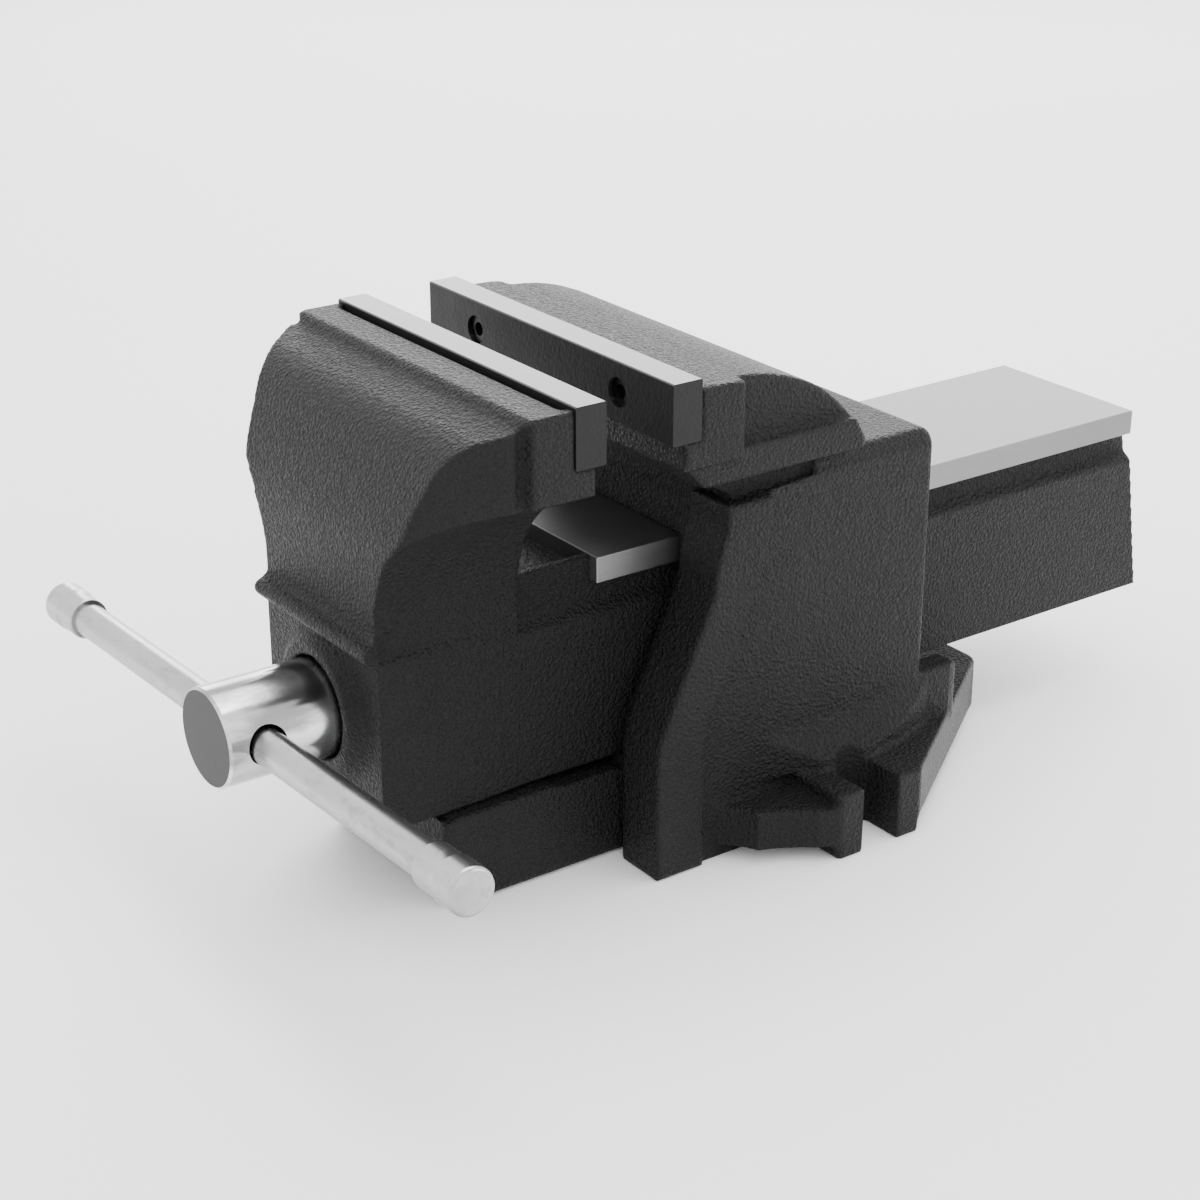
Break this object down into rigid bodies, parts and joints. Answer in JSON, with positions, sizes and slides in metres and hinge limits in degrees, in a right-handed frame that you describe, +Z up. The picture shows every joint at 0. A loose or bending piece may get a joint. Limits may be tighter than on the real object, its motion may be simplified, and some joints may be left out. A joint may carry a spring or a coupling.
{
  "type": "bench vise",
  "caption": "Heavy fixed-base bench vise: cast jaws with steel plates, hollow box slide, screw spindle and sliding bar handle.",
  "frame": {"origin": "on the mounting plane, straight below the middle of the fixed jaw's gripping face", "axes": "+Z up from the mounting plane, +Y from the moving jaw to the fixed jaw, +X across the jaws"},
  "size_m": [0.3884, 0.5553, 0.254],
  "materials": {
    "casting_paint": "satin hammered paint over cast iron",
    "jaw_steel": "machined",
    "screw_black": "blackened",
    "polished_steel": "polished",
    "bar_steel": "satin",
    "thread_steel": "greased",
    "nut_iron": "machined",
    "spring_steel": "oiled"
  },
  "bodies": {
    "fixed_jaw": {"fixed_jaw_casting": "casting_paint", "fixed_jaw_plate": "jaw_steel", "fixed_plate_screw_left": "screw_black", "fixed_plate_screw_right": "screw_black", "spindle_nut": "nut_iron", "nut_bolt_front": "screw_black", "nut_bolt_rear": "screw_black", "nut_washer_front": "spring_steel", "nut_washer_rear": "spring_steel"},
    "moving_jaw": {"moving_jaw_casting": "casting_paint", "moving_jaw_plate": "jaw_steel", "moving_plate_screw_left": "screw_black", "moving_plate_screw_right": "screw_black"},
    "spindle": {"spindle_head": "polished_steel", "spindle_screw": "thread_steel", "thrust_washer": "spring_steel", "spring_washer": "spring_steel", "retaining_washer": "spring_steel", "return_spring": "spring_steel", "split_pin": "spring_steel"},
    "tommy_bar": {"tommy_bar_rod": "bar_steel", "bar_knob_left": "bar_steel", "bar_knob_right": "bar_steel"}
  },
  "joints": [
    {"name": "jaw_slide", "type": "slide", "parent": "fixed_jaw", "child": "moving_jaw", "axis": [0, -1, 0], "range_m": [-0.0358, 0.1641]},
    {"name": "spindle_turn", "type": "hinge", "parent": "moving_jaw", "child": "spindle", "pos_m": [0, -0.165, 0.096], "axis": [0, 1, 0], "range_deg": [-9840, 2142]},
    {"name": "tommy_bar_slide", "type": "slide", "parent": "spindle", "child": "tommy_bar", "axis": [0.9995, 0, 0.0314], "range_m": [-0.137, 0.141]}
  ],
  "couplings": [
    {"joint": "jaw_slide", "follows": "spindle_turn", "m_per_rad": -0.00095493}
  ]
}
